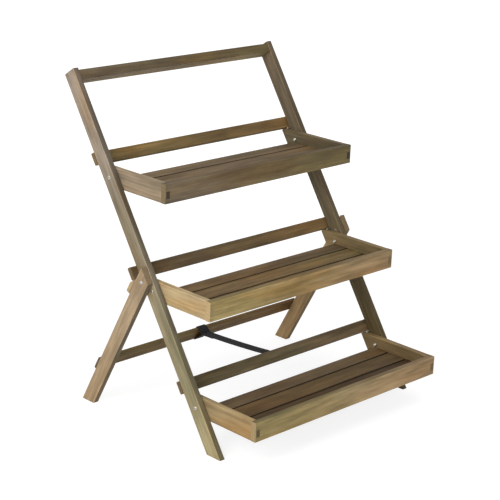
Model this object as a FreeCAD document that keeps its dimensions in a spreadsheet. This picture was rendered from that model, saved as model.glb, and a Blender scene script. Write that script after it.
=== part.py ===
import FreeCAD, Part
import math
import os
import Sketcher

from FreeCAD import Placement, Rotation, Vector

# A folding plant stand: two leaning stiles joined by a top rail and three back slats, a rear leg
# frame that swings on a bolt through each stile, and three open-backed trays that hinge up.
# X runs across the stand, Y from the front to the back and Z up. Millimetres and degrees.

DIMENSIONS = [
    # the leaning ladder
    ("frame_width", 700.0),          # across the outer faces of the stiles
    ("lean_angle", 33.5),            # of the stiles, from upright
    ("stile_length", 1040.0),        # along the front edge
    ("stile_depth", 41.0),
    ("stile_thickness", 17.0),
    ("stile_round", 2.5),            # eased long edges of the stiles and legs
    ("rail_height", 25.0),
    ("rail_depth", 38.0),
    ("rail_drop", 5.0),              # of the rail below the stile tops
    ("rail_setback", 1.5),
    ("rail_tenon", 11.0),            # how far each tenon goes into its stile
    ("tenon_shoulder", 5.0),
    ("slat_height", 33.0),
    ("slat_thickness", 12.0),
    ("first_slat_along", 218.0),     # top edge of the lowest back slat, along the stile
    ("tier_pitch", 305.0),           # from one tier to the next, along the stile
    ("slat_round", 3.0),
    ("board_round", 1.5),            # of the rail, the crossbar and the trays' boards
    # the rear leg frame
    ("leg_angle", 28.5),             # of the legs, from upright, with the stand open
    ("leg_depth", 41.0),
    ("leg_thickness", 17.0),
    ("leg_gap", 1.5),                # between a leg and its stile
    ("leg_pivot_below_slat", 48.0),  # below the middle slat's top edge, along the stile
    ("leg_pivot_from_rear", 20.5),   # from the rear edges of the stile and the leg
    ("leg_top_margin", 0.5),         # of the leg's cut top behind the stile's front edge
    ("bar_down", 304.0),             # top edge of the crossbar below the leg pivot
    ("bar_height", 37.0),
    ("bar_thickness", 10.0),
    ("bar_inset", 6.0),              # of its ends from the outer faces of the legs
    ("block_down", 58.0),            # lower end of a stop block below the leg pivot
    ("block_thickness", 13.0),
    ("block_clearance", 0.5),        # between a stop block and the middle back slat
    # the trays
    ("tray_gap", 1.5),               # between a tray and its stile
    ("tray_reach", 192.0),           # from the tray pivot to the front face
    ("tray_pivot_below_slat", 77.0),
    ("tray_pivot_from_rear", 23.0),
    ("tray_pivot_below_rim", 21.5),
    ("tray_board", 16.0),            # thickness of the front and side boards
    ("tray_wall", 50.5),             # height of the front and side boards
    ("seat_clearance", 0.5),         # under the back slat that the tray seats against
    ("corner_tenon_width", 11.0),
    ("corner_tenon_height", 19.0),
    ("corner_tenon_below_rim", 28.5),
    ("floor_below_rim", 29.0),       # top face of the floor slats
    ("floor_thickness", 8.0),
    ("floor_front_gap", 6.5),        # behind the front board
    ("floor_past_pivot", 1.5),       # rear edge of the floor, behind the tray pivot
    ("floor_slat_width", 57.5),      # of the front and middle slats: the rear one fills up
    ("floor_slat_gap", 4.0),
    ("floor_tongue_length", 6.0),
    ("floor_tongue_thickness", 4.0),
    ("floor_tongue_shoulder", 5.0),
    ("joint_clearance", 0.1),        # round each tenon and tongue
    # the hardware
    ("bolt_radius", 3.0),            # tray pivots
    ("leg_bolt_radius", 4.0),
    ("running_clearance", 0.05),     # radial, in a pivot
    ("side_clearance", 0.3),         # between a turning piece and the hardware beside it
    ("flange_radius", 5.0),
    ("flange_thickness", 1.0),
    ("dome_height", 4.5),
    ("thread_engagement", 3.0),
    ("leg_sleeve_radius", 5.0),
    ("leg_sleeve_length", 9.0),
    ("washer_radius", 8.0),
    ("stop_pin_radius", 2.5),
    ("stop_pin_length", 15.0),       # clear of the stile
    ("stop_pin_depth", 10.0),        # in the stile
    ("stop_pin_chamfer", 1.0),
    ("stop_pin_from_rear", 6.0),
    ("screw_radius", 1.9),
    ("screw_head_radius", 4.0),
    ("screw_head_rim", 0.2),         # of a countersunk head, outside its cone
    ("screw_length", 32.0),
    # the stay strap
    ("strap_width", 30.0),
    ("strap_thickness", 1.8),
    ("strap_sag", 2.0),
    ("strap_nose", 16.0),            # of the sewn loop, ahead of the crossbar
    ("strap_nose_down", 1.0),        # of its point below the crossbar's top edge
    ("strap_tab", 20.0),             # flat against the lower back slat
    ("strap_root", 7.0),             # of the tab's bend below the top of that slat
    ("strap_slat_offset", -22.0),    # of the strap's middle from the stand's, at the slat
    ("strap_bar_offset", -5.0),      # and at the crossbar
    ("strap_clearance", 0.4),        # round the crossbar
    ("strap_screw_spacing", 16.0),
    ("strap_screw_length", 12.0),
    ("strap_screw_head_height", 1.8),
]

TIERS = ("lower", "middle", "upper")
SIDES = (("left", -1), ("right", 1))

document = FreeCAD.newDocument("plant_stand")
sheet = document.addObject("Spreadsheet::Sheet", "dims")
for row, (alias, value) in enumerate(DIMENSIONS, start=1):
    sheet.set("A%d" % row, alias)
    sheet.set("B%d" % row, str(value))
    sheet.setAlias("B%d" % row, alias)
document.recompute()


class Sizes:
    """The driving dimensions, read back from the sheet, as attributes."""


size = Sizes()
for alias, _ in DIMENSIONS:
    setattr(size, alias, float(sheet.get(alias)))

LEAN = math.radians(size.lean_angle)
SPREAD = math.radians(size.leg_angle)
SIN_LEAN = "sin(dims.lean_angle * 1 deg)"
COS_LEAN = "cos(dims.lean_angle * 1 deg)"
TAN_LEAN = "tan(dims.lean_angle * 1 deg)"

subparts = []


def evaluate(expression):
    """The number that an expression of the sheet's cells gives."""
    result = sheet.evalExpression(expression)
    return float(getattr(result, "Value", result))


def keep(part, label, placement=None):
    """Name a finished sub-part, put it in its place and list it for export."""
    part.Label = label
    if placement is not None:
        part.Placement = placement
    subparts.append(part)
    return part


def new_body(name):
    return document.addObject("PartDesign::Body", name)


def new_sketch(body, plane, offset=None):
    """A sketch on one of the body's own origin planes, moved along its normal by an expression."""
    sketch = body.newObject("Sketcher::SketchObject", body.Name + "_sketch")
    origin = [item for item in body.Origin.OriginFeatures if item.Role == plane][0]
    sketch.AttachmentSupport = [(origin, "")]
    sketch.MapMode = "FlatFace"
    if offset is not None:
        sketch.setExpression("AttachmentOffset.Base.z", offset)
    return sketch


def pin_point(sketch, geometry, point, x, y):
    """Hold one point of a sketch at two expressions, measured from the sketch's origin."""
    for kind, expression in (("DistanceX", x), ("DistanceY", y)):
        distance = evaluate(expression)
        number = sketch.addConstraint(
            Sketcher.Constraint(kind, -1, 1, geometry, point, distance))
        sketch.setExpression("Constraints[%d]" % number, expression)


def add_polygon(sketch, corners):
    """A closed outline through corners, each a pair of expressions."""
    points = [Vector(evaluate(x), evaluate(y), 0) for x, y in corners]
    first = sketch.GeometryCount
    count = len(points)
    for i in range(count):
        sketch.addGeometry(Part.LineSegment(points[i], points[(i + 1) % count]), False)
    for i in range(count):
        following = first + (i + 1) % count
        sketch.addConstraint(Sketcher.Constraint("Coincident", first + i, 2, following, 1))
    for i, (x, y) in enumerate(corners):
        pin_point(sketch, first + i, 1, x, y)


def add_rectangle(sketch, low_x, low_y, high_x, high_y):
    add_polygon(sketch, [(low_x, low_y), (high_x, low_y), (high_x, high_y), (low_x, high_y)])


def add_circle(sketch, x, y, radius):
    centre = Vector(evaluate(x), evaluate(y), 0)
    circle = Part.Circle(centre, Vector(0, 0, 1), evaluate(radius))
    number = sketch.addGeometry(circle, False)
    pin_point(sketch, number, 3, x, y)
    constraint = sketch.addConstraint(
        Sketcher.Constraint("Radius", number, evaluate(radius)))
    sketch.setExpression("Constraints[%d]" % constraint, radius)


def pad(body, sketch, length, midplane=False, backwards=False):
    feature = body.newObject("PartDesign::Pad", body.Name + "_pad")
    feature.Profile = sketch
    feature.Midplane = midplane
    feature.Reversed = backwards
    feature.setExpression("Length", length)
    document.recompute()
    return feature


def pocket(body, sketch, depth, backwards=False):
    """Cut to a depth against the sketch's normal, or along it when backwards."""
    before = body.Shape.Volume
    feature = body.newObject("PartDesign::Pocket", body.Name + "_pocket")
    feature.Profile = sketch
    feature.Reversed = backwards
    feature.setExpression("Length", depth)
    document.recompute()
    if not body.Shape.Volume < before:
        raise RuntimeError("nothing was cut from " + body.Name)
    return feature


def ease(body, direction, radius):
    """Round the straight edges of a body that run along a direction."""
    tip = body.Tip
    names = []
    for number, edge in enumerate(tip.Shape.Edges, start=1):
        if isinstance(edge.Curve, Part.Line):
            along = abs(edge.Curve.Direction.dot(direction))
            if along > 0.999:
                names.append("Edge%d" % number)
    fillet = body.newObject("PartDesign::Fillet", body.Name + "_ease")
    fillet.Base = (tip, names)
    fillet.setExpression("Radius", radius)
    document.recompute()
    return fillet


def revolve(name, corners, axis="H_Axis"):
    """A turned piece: an outline of (along, radius) pairs swung about the body's own X axis."""
    body = new_body(name)
    sketch = new_sketch(body, "XY_Plane")
    add_polygon(sketch, corners)
    feature = body.newObject("PartDesign::Revolution", name + "_turned")
    feature.Profile = sketch
    feature.ReferenceAxis = (sketch, [axis])
    feature.Angle = 360
    document.recompute()
    return body


def group(label, form, placements):
    """Copies of one turned form, as separate solids of one sub-part."""
    copies = []
    for placement in placements:
        copy = form.Shape.copy()
        copy.Placement = placement.multiply(form.Shape.Placement)
        copies.append(copy)
    part = document.addObject("Part::Feature", label)
    part.Shape = Part.makeCompound(copies)
    return keep(part, label)


# Each frame below is a placement: the ladder's Y is measured back from the stiles' front edges and
# its Z up along them, and the leg frame's from the leg pivot, with Z up along the legs.

LADDER = Placement(Vector(0, 0, 0), Rotation(Vector(1, 0, 0), -size.lean_angle))


def on_ladder(across, back, along):
    return LADDER.multVec(Vector(across, back, along))


def slat_along(tier):
    """Top edge of a tier's back slat, along the stile."""
    return size.first_slat_along + tier * size.tier_pitch


LEG_PIVOT_BACK = size.stile_depth - size.leg_pivot_from_rear
TRAY_PIVOT_BACK = size.stile_depth - size.tray_pivot_from_rear
LEG_PIVOT = on_ladder(0, LEG_PIVOT_BACK, slat_along(1) - size.leg_pivot_below_slat)
LEGS = Placement(LEG_PIVOT, Rotation(Vector(1, 0, 0), size.leg_angle))


def tray_pivot(tier):
    along = slat_along(tier) - size.tray_pivot_below_slat
    return on_ladder(0, TRAY_PIVOT_BACK, along)


# A stop pin rests on the rim of its tray, so its place along the stile follows the rim.
PIN_BACK = size.tray_pivot_from_rear - size.stop_pin_from_rear
PIN_ABOVE_PIVOT = size.tray_pivot_below_rim + size.side_clearance + size.stop_pin_radius
PIN_ALONG = (PIN_ABOVE_PIVOT + PIN_BACK * math.sin(LEAN)) / math.cos(LEAN)

LEG_PIVOT_Y = "(dims.stile_depth - dims.leg_pivot_from_rear)"
LEG_PIVOT_Z = "(dims.first_slat_along + dims.tier_pitch - dims.leg_pivot_below_slat)"
TRAY_HALF = "(dims.frame_width / 2 - dims.stile_thickness - dims.tray_gap)"
TRAY_PIVOT_Y = "(dims.stile_depth - dims.tray_pivot_from_rear)"
FIRST_PIVOT_Z = "(dims.first_slat_along - dims.tray_pivot_below_slat)"
PIN_Y = "(dims.stile_depth - dims.stop_pin_from_rear)"
PIN_RISE = ("((dims.tray_pivot_below_rim + dims.side_clearance + dims.stop_pin_radius"
            " + (dims.tray_pivot_from_rear - dims.stop_pin_from_rear) * %s) / %s)"
            % (SIN_LEAN, COS_LEAN))


def tier_expression(first, tier):
    return "(%s + %d * dims.tier_pitch)" % (first, tier)


def make_stile(name, side):
    """A stile: cut level at the floor, drilled for its pivots and stop pins, mortised for the rail."""
    body = new_body(name)
    outline = new_sketch(body, "YZ_Plane")
    add_polygon(outline, [
        ("0", "0"),
        ("dims.stile_depth", "dims.stile_depth * " + TAN_LEAN),
        ("dims.stile_depth", "dims.stile_length"),
        ("0", "dims.stile_length")])
    pad(body, outline, "dims.stile_thickness")
    ease(body, Vector(0, 0, 1), "dims.stile_round")

    inner = "dims.stile_thickness" if side < 0 else "0"
    towards_x = side > 0

    bores = new_sketch(body, "YZ_Plane", inner)
    for tier in range(len(TIERS)):
        add_circle(bores, TRAY_PIVOT_Y, tier_expression(FIRST_PIVOT_Z, tier),
                   "dims.bolt_radius + dims.running_clearance")
    add_circle(bores, LEG_PIVOT_Y, LEG_PIVOT_Z,
               "dims.leg_bolt_radius + dims.running_clearance")
    pocket(body, bores, "dims.stile_thickness", towards_x)

    sleeve = new_sketch(body, "YZ_Plane", inner)
    add_circle(sleeve, LEG_PIVOT_Y, LEG_PIVOT_Z,
               "dims.leg_sleeve_radius + dims.running_clearance")
    pocket(body, sleeve, "dims.leg_sleeve_length + dims.joint_clearance", towards_x)

    pins = new_sketch(body, "YZ_Plane", inner)
    for tier in range(len(TIERS)):
        rise = "(%s + %s)" % (tier_expression(FIRST_PIVOT_Z, tier), PIN_RISE)
        add_circle(pins, PIN_Y, rise, "dims.stop_pin_radius + dims.running_clearance")
    pocket(body, pins, "dims.stop_pin_depth", towards_x)

    mortise = new_sketch(body, "YZ_Plane", inner)
    add_rectangle(
        mortise,
        "dims.rail_setback + dims.tenon_shoulder - dims.joint_clearance",
        "dims.stile_length - dims.rail_drop - dims.rail_height + dims.tenon_shoulder"
        " - dims.joint_clearance",
        "dims.rail_setback + dims.rail_depth - dims.tenon_shoulder + dims.joint_clearance",
        "dims.stile_length - dims.rail_drop - dims.tenon_shoulder + dims.joint_clearance")
    pocket(body, mortise, "dims.rail_tenon + dims.joint_clearance", towards_x)

    pilots = new_sketch(body, "XZ_Plane", "-dims.stile_depth")
    for tier in range(len(TIERS)):
        along = tier_expression("dims.first_slat_along - dims.slat_height / 2", tier)
        add_circle(pilots, "dims.stile_thickness / 2", along,
                   "dims.screw_radius + dims.running_clearance")
    pocket(body, pilots, "dims.screw_length - dims.slat_thickness + dims.joint_clearance", True)

    half = size.frame_width / 2
    start = -half if side < 0 else half - size.stile_thickness
    keep(body, name, LADDER.multiply(Placement(Vector(start, 0, 0), Rotation())))


def make_rail():
    """The top rail, with a tenon at each end."""
    body = new_body("top_rail")
    section = new_sketch(body, "YZ_Plane")
    add_rectangle(section, "0", "0", "dims.rail_depth", "dims.rail_height")
    pad(body, section, "dims.frame_width - 2 * dims.stile_thickness", midplane=True)
    ease(body, Vector(1, 0, 0), "dims.board_round")
    tenon = new_sketch(body, "YZ_Plane")
    add_rectangle(tenon, "dims.tenon_shoulder", "dims.tenon_shoulder",
                  "dims.rail_depth - dims.tenon_shoulder",
                  "dims.rail_height - dims.tenon_shoulder")
    pad(body, tenon, "dims.frame_width - 2 * dims.stile_thickness + 2 * dims.rail_tenon",
        midplane=True)
    bottom = size.stile_length - size.rail_drop - size.rail_height
    place = Placement(Vector(0, size.rail_setback, bottom), Rotation())
    keep(body, "top_rail", LADDER.multiply(place))


def make_back_slat(tier, length):
    """A back slat, screwed to the rear edges of the stiles; length is an expression."""
    name = TIERS[tier] + "_back_slat"
    body = new_body(name)
    section = new_sketch(body, "YZ_Plane")
    add_rectangle(section, "0", "0", "dims.slat_thickness", "dims.slat_height")
    pad(body, section, length, midplane=True)
    ease(body, Vector(1, 0, 0), "dims.slat_round")
    drill_screw_holes(body, "dims.slat_thickness", "dims.slat_height",
                      "(dims.frame_width - dims.stile_thickness) / 2")
    if tier == 0:
        pilots = new_sketch(body, "XZ_Plane", "-dims.slat_thickness")
        for step in (-1, 1):
            add_circle(pilots,
                       "dims.strap_slat_offset + %d * dims.strap_screw_spacing / 2" % step,
                       "dims.slat_height - dims.strap_root - dims.strap_tab / 2",
                       "dims.screw_radius + dims.running_clearance")
        pocket(body, pilots, "dims.strap_screw_length - dims.strap_thickness"
               " + dims.joint_clearance", True)
    place = Placement(Vector(0, size.stile_depth, slat_along(tier) - size.slat_height), Rotation())
    keep(body, name, LADDER.multiply(place))


def drill_screw_holes(body, thickness, height, across):
    """A screw hole at each end of a board whose section starts at the body's origin."""
    for radius, depth in (
            ("dims.screw_radius + dims.running_clearance", thickness),
            ("dims.screw_head_radius + dims.running_clearance",
             "dims.screw_head_radius - dims.screw_radius")):
        holes = new_sketch(body, "XZ_Plane", "-(%s)" % thickness)
        for _, side in SIDES:
            add_circle(holes, "%d * (%s)" % (side, across), "(%s) / 2" % height, radius)
        pocket(body, holes, depth, True)


def make_leg(name, side):
    """A rear leg: level at the floor, its top cut along the stile's front edge."""
    body = new_body(name)
    outline = new_sketch(body, "YZ_Plane")
    rear = "dims.leg_pivot_from_rear"
    front = "(dims.leg_pivot_from_rear - dims.leg_depth)"
    height = "(%s * %s - %s * %s)" % (LEG_PIVOT_Z, COS_LEAN, LEG_PIVOT_Y, SIN_LEAN)
    fold = "((dims.lean_angle + dims.leg_angle) * 1 deg)"

    def floor(y):
        return ("-(%s + %s * sin(dims.leg_angle * 1 deg)) / cos(dims.leg_angle * 1 deg)"
                % (height, y))

    def top(y):
        return ("(%s * cos%s + dims.stile_depth - dims.leg_pivot_from_rear - dims.leg_top_margin)"
                " / sin%s" % (y, fold, fold))

    add_polygon(outline, [(front, floor(front)), (rear, floor(rear)),
                          (rear, top(rear)), (front, top(front))])
    pad(body, outline, "dims.leg_thickness")
    ease(body, Vector(0, 0, 1), "dims.stile_round")

    bore = new_sketch(body, "YZ_Plane", "dims.leg_thickness")
    add_circle(bore, "0", "0", "dims.leg_bolt_radius + dims.running_clearance")
    pocket(body, bore, "dims.leg_thickness")

    pilots = new_sketch(body, "XZ_Plane", "-dims.leg_pivot_from_rear")
    add_circle(pilots, "dims.leg_thickness / 2", "-dims.bar_down - dims.bar_height / 2",
               "dims.screw_radius + dims.running_clearance")
    pocket(body, pilots, "dims.screw_length - dims.bar_thickness + dims.joint_clearance", True)

    inner = size.frame_width / 2 + size.leg_gap
    start = -inner - size.leg_thickness if side < 0 else inner
    keep(body, name, LEGS.multiply(Placement(Vector(start, 0, 0), Rotation())))


def make_crossbar():
    body = new_body("rear_crossbar")
    section = new_sketch(body, "YZ_Plane")
    add_rectangle(section, "0", "0", "dims.bar_thickness", "dims.bar_height")
    pad(body, section,
        "dims.frame_width + 2 * (dims.leg_gap + dims.leg_thickness - dims.bar_inset)",
        midplane=True)
    ease(body, Vector(1, 0, 0), "dims.board_round")
    drill_screw_holes(body, "dims.bar_thickness", "dims.bar_height",
                      "dims.frame_width / 2 + dims.leg_gap + dims.leg_thickness / 2")
    place = Placement(Vector(0, size.leg_pivot_from_rear, -size.bar_down - size.bar_height),
                      Rotation())
    keep(body, "rear_crossbar", LEGS.multiply(place))


def make_stop_block(name, side):
    """A block on a leg's rear edge, whose top meets the underside of the middle back slat."""
    body = new_body(name)
    outline = new_sketch(body, "YZ_Plane")
    fold = "((dims.lean_angle + dims.leg_angle) * 1 deg)"
    slat_under = "(dims.leg_pivot_below_slat - dims.slat_height - dims.block_clearance)"
    rear = "(dims.leg_pivot_from_rear + dims.block_thickness)"

    def top(y):
        return "(%s - %s * sin%s) / cos%s" % (slat_under, y, fold, fold)

    add_polygon(outline, [
        ("dims.leg_pivot_from_rear", "-dims.block_down"),
        (rear, "-dims.block_down"),
        (rear, top(rear)),
        ("dims.leg_pivot_from_rear", top("dims.leg_pivot_from_rear"))])
    pad(body, outline, "dims.leg_thickness")
    ease(body, Vector(0, 0, 1), "dims.board_round")
    inner = size.frame_width / 2 + size.leg_gap
    start = -inner - size.leg_thickness if side < 0 else inner
    keep(body, name, LEGS.multiply(Placement(Vector(start, 0, 0), Rotation())))


# A tray is drawn about its own pivot: Y back and Z up, level.

RIM = "dims.tray_pivot_below_rim"
FOOT = "(dims.tray_pivot_below_rim - dims.tray_wall)"
FRONT_INNER = "(dims.tray_board - dims.tray_reach)"
REAR_PLANE = "(dims.slat_thickness + dims.tray_pivot_from_rear)"
SEAT_PLANE = "(dims.tray_pivot_below_slat - dims.slat_height - dims.seat_clearance)"
REAR_FOOT = "((%s + %s * %s) / %s)" % (REAR_PLANE, FOOT, SIN_LEAN, COS_LEAN)
FLOOR_TOP = "(dims.tray_pivot_below_rim - dims.floor_below_rim)"
FLOOR_FOOT = "(%s - dims.floor_thickness)" % FLOOR_TOP


def side_outline():
    """The side board's outline: level, its rear end along the slats and seated under one."""
    seat_start = "((%s - %s * %s) / %s)" % (SEAT_PLANE, RIM, COS_LEAN, SIN_LEAN)
    rear_at_rim = "((%s + %s * %s) / %s)" % (REAR_PLANE, RIM, SIN_LEAN, COS_LEAN)
    corners = [(FRONT_INNER, FOOT), (REAR_FOOT, FOOT)]
    if evaluate(seat_start) < evaluate(rear_at_rim):
        seat_end = ("(%s * %s + %s * %s)" % (SEAT_PLANE, SIN_LEAN, REAR_PLANE, COS_LEAN),
                    "(%s * %s - %s * %s)" % (SEAT_PLANE, COS_LEAN, REAR_PLANE, SIN_LEAN))
        corners += [seat_end, (seat_start, RIM)]
    else:
        corners += [(rear_at_rim, RIM)]
    corners += [(FRONT_INNER, RIM)]
    return corners


def floor_edges():
    """Front and rear edge of each floor slat, front to rear."""
    edges = []
    start = "(%s + dims.floor_front_gap)" % FRONT_INNER
    for _ in range(2):
        end = "(%s + dims.floor_slat_width)" % start
        edges.append((start, end))
        start = "(%s + dims.floor_slat_gap)" % end
    edges.append((start, "dims.floor_past_pivot"))
    return edges


TONGUE_LOW = "(%s + (dims.floor_thickness - dims.floor_tongue_thickness) / 2)" % FLOOR_FOOT
TONGUE_HIGH = "(%s + (dims.floor_thickness + dims.floor_tongue_thickness) / 2)" % FLOOR_FOOT


def make_side_board(tier, side_name, side):
    name = "%s_tray_%s_side" % (TIERS[tier], side_name)
    body = new_body(name)
    outline = new_sketch(body, "YZ_Plane")
    add_polygon(outline, side_outline())
    pad(body, outline, "dims.tray_board")
    ease(body, Vector(0, 1, 0), "dims.board_round")

    middle = "dims.tray_pivot_below_rim - dims.corner_tenon_below_rim"
    tenon = new_sketch(body, "XZ_Plane", "-" + FRONT_INNER)
    add_rectangle(tenon,
                  "(dims.tray_board - dims.corner_tenon_width) / 2",
                  middle + " - dims.corner_tenon_height / 2",
                  "(dims.tray_board + dims.corner_tenon_width) / 2",
                  middle + " + dims.corner_tenon_height / 2")
    pad(body, tenon, "dims.tray_board")

    bore = new_sketch(body, "YZ_Plane", "dims.tray_board")
    add_circle(bore, "0", "0", "dims.bolt_radius + dims.running_clearance")
    pocket(body, bore, "dims.tray_board")

    inner = "dims.tray_board" if side < 0 else "0"
    mortises = new_sketch(body, "YZ_Plane", inner)
    for front, rear in floor_edges():
        add_rectangle(mortises,
                      "%s + dims.floor_tongue_shoulder - dims.joint_clearance" % front,
                      "%s - dims.joint_clearance" % TONGUE_LOW,
                      "%s - dims.floor_tongue_shoulder + dims.joint_clearance" % rear,
                      "%s + dims.joint_clearance" % TONGUE_HIGH)
    pocket(body, mortises, "dims.floor_tongue_length + dims.joint_clearance", side > 0)

    half = evaluate(TRAY_HALF)
    start = -half if side < 0 else half - size.tray_board
    keep(body, name, Placement(tray_pivot(tier) + Vector(start, 0, 0), Rotation()))


def make_front_board(tier):
    """The front board, with the side boards' tenons showing through it at both ends."""
    name = TIERS[tier] + "_tray_front"
    body = new_body(name)
    section = new_sketch(body, "YZ_Plane")
    add_rectangle(section, "-dims.tray_reach", FOOT, FRONT_INNER, RIM)
    pad(body, section, "2 * " + TRAY_HALF, midplane=True)
    ease(body, Vector(1, 0, 0), "dims.board_round")

    mortises = new_sketch(body, "XZ_Plane", "dims.tray_reach")
    middle = "dims.tray_pivot_below_rim - dims.corner_tenon_below_rim"
    near = "%s - (dims.tray_board - dims.corner_tenon_width) / 2 + dims.joint_clearance" % TRAY_HALF
    far = "%s - (dims.tray_board + dims.corner_tenon_width) / 2 - dims.joint_clearance" % TRAY_HALF
    low = middle + " - dims.corner_tenon_height / 2 - dims.joint_clearance"
    high = middle + " + dims.corner_tenon_height / 2 + dims.joint_clearance"
    add_rectangle(mortises, far, low, near, high)
    add_rectangle(mortises, "-(%s)" % near, low, "-(%s)" % far, high)
    pocket(body, mortises, "dims.tray_board")
    keep(body, name, Placement(tray_pivot(tier), Rotation()))


def make_floor_slat(tier, position, front, rear):
    """A floor slat between the side boards, with a tongue at each end."""
    name = "%s_tray_%s_slat" % (TIERS[tier], position)
    body = new_body(name)
    inside = "2 * (%s - dims.tray_board)" % TRAY_HALF
    section = new_sketch(body, "YZ_Plane")
    add_rectangle(section, front, FLOOR_FOOT, rear, FLOOR_TOP)
    pad(body, section, inside, midplane=True)
    ease(body, Vector(1, 0, 0), "dims.board_round")
    tongue = new_sketch(body, "YZ_Plane")
    add_rectangle(tongue, "%s + dims.floor_tongue_shoulder" % front, TONGUE_LOW,
                  "%s - dims.floor_tongue_shoulder" % rear, TONGUE_HIGH)
    pad(body, tongue, inside + " + 2 * dims.floor_tongue_length", midplane=True)
    keep(body, name, Placement(tray_pivot(tier), Rotation()))


# Turned hardware lies along X, pointing from the outside of the stand inwards.

def facing(side, base):
    """A placement at base whose X axis points inwards from that side."""
    turn = 0 if side < 0 else 180
    return Placement(base, Rotation(Vector(0, 0, 1), turn))


def make_tray_hardware():
    bolt_length = ("dims.stile_thickness + dims.tray_gap + dims.tray_board"
                   " + dims.side_clearance + dims.thread_engagement")
    bolt = revolve("tray_bolt_form", [
        ("-dims.flange_thickness", "0"),
        ("-dims.flange_thickness", "dims.flange_radius - dims.flange_thickness / 2"),
        ("-dims.flange_thickness / 2", "dims.flange_radius"),
        ("0", "dims.flange_radius"),
        ("0", "dims.bolt_radius"),
        (bolt_length, "dims.bolt_radius"),
        (bolt_length, "0")])
    nut = revolve("tray_nut_form", [
        ("0", "dims.bolt_radius + dims.running_clearance"),
        ("0", "dims.flange_radius"),
        ("dims.dome_height * 0.5", "dims.flange_radius"),
        ("dims.dome_height", "dims.flange_radius * 0.6"),
        ("dims.dome_height", "0"),
        ("dims.thread_engagement + dims.joint_clearance", "0"),
        ("dims.thread_engagement + dims.joint_clearance",
         "dims.bolt_radius + dims.running_clearance")])
    washer = revolve("tray_washer_form", [
        ("0", "dims.bolt_radius + dims.joint_clearance"),
        ("0", "dims.washer_radius"),
        ("dims.tray_gap - dims.side_clearance", "dims.washer_radius"),
        ("dims.tray_gap - dims.side_clearance", "dims.bolt_radius + dims.joint_clearance")])
    pin = revolve("stop_pin_form", [
        ("-dims.stop_pin_depth + dims.joint_clearance", "0"),
        ("-dims.stop_pin_depth + dims.joint_clearance", "dims.stop_pin_radius"),
        ("dims.stop_pin_length - dims.stop_pin_chamfer", "dims.stop_pin_radius"),
        ("dims.stop_pin_length", "dims.stop_pin_radius - dims.stop_pin_chamfer"),
        ("dims.stop_pin_length", "0")])

    half = size.frame_width / 2
    inner_stile = half - size.stile_thickness
    inner_tray = evaluate(TRAY_HALF) - size.tray_board - size.side_clearance
    for tier, tier_name in enumerate(TIERS):
        pivot = tray_pivot(tier)
        along = slat_along(tier) - size.tray_pivot_below_slat + PIN_ALONG
        stop = on_ladder(0, size.stile_depth - size.stop_pin_from_rear, along)
        for label, form, reach, centre in (
                ("_tray_pivot_bolts", bolt, half, pivot),
                ("_tray_pivot_nuts", nut, inner_tray, pivot),
                ("_tray_pivot_washers", washer, inner_stile, pivot),
                ("_tray_stop_pins", pin, inner_stile, stop)):
            places = [facing(side, centre + Vector(side * reach, 0, 0)) for _, side in SIDES]
            group(tier_name + label, form, places)


def make_leg_hardware():
    """Bolts that the legs swing on, their sunk cap nuts and the washers between leg and stile."""
    across = "dims.side_clearance + dims.leg_thickness + dims.leg_gap + dims.stile_thickness"
    tip = across + " - dims.joint_clearance"
    bolt = revolve("leg_bolt_form", [
        ("-dims.dome_height * 0.6", "0"),
        ("-dims.dome_height * 0.6", "dims.flange_radius * 0.5"),
        ("-dims.dome_height * 0.4", "dims.flange_radius * 0.9"),
        ("0", "dims.flange_radius * 1.1"),
        ("0", "dims.leg_bolt_radius"),
        (tip, "dims.leg_bolt_radius"),
        (tip, "0")])
    nut = revolve("leg_nut_form", [
        ("-dims.leg_sleeve_length", "dims.leg_bolt_radius + dims.running_clearance"),
        ("-dims.leg_sleeve_length", "dims.leg_sleeve_radius"),
        ("0", "dims.leg_sleeve_radius"),
        ("0", "dims.flange_radius * 1.1"),
        ("dims.flange_thickness / 2", "dims.flange_radius * 1.1"),
        ("dims.flange_thickness", "dims.flange_radius * 1.1 - dims.flange_thickness / 2"),
        ("dims.flange_thickness", "0"),
        ("0", "0"),
        ("0", "dims.leg_bolt_radius + dims.running_clearance")])
    washer = revolve("leg_washer_form", [
        ("0", "dims.leg_bolt_radius + dims.joint_clearance"),
        ("0", "dims.washer_radius"),
        ("dims.leg_gap - dims.side_clearance", "dims.washer_radius"),
        ("dims.leg_gap - dims.side_clearance", "dims.leg_bolt_radius + dims.joint_clearance")])
    half = size.frame_width / 2
    head = half + size.leg_gap + size.leg_thickness + size.side_clearance
    rest = half + size.leg_gap - size.side_clearance
    for label, form, reach in (
            ("leg_pivot_bolts", bolt, head),
            ("leg_pivot_nuts", nut, half - size.stile_thickness),
            ("leg_pivot_washers", washer, rest)):
        places = [facing(side, LEG_PIVOT + Vector(side * reach, 0, 0)) for _, side in SIDES]
        group(label, form, places)


def screw_form(name, length):
    """A countersunk screw, its head flush at the origin and its shank along X."""
    cone = "dims.screw_head_radius - dims.screw_radius"
    return revolve(name, [
        ("0", "0"),
        ("0", "dims.screw_head_radius - dims.screw_head_rim"),
        ("%s - dims.screw_head_rim" % cone, "dims.screw_radius"),
        ("%s - dims.screw_radius * 2" % length, "dims.screw_radius"),
        (length, "0")])


def screw_places(frame, across, back, heights):
    """Placements of screws driven forwards, in a frame whose Y points back."""
    forwards = Rotation(Vector(0, 0, 1), -90)
    return [frame.multiply(Placement(Vector(x, back, z), forwards))
            for x in across for z in heights]


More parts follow.
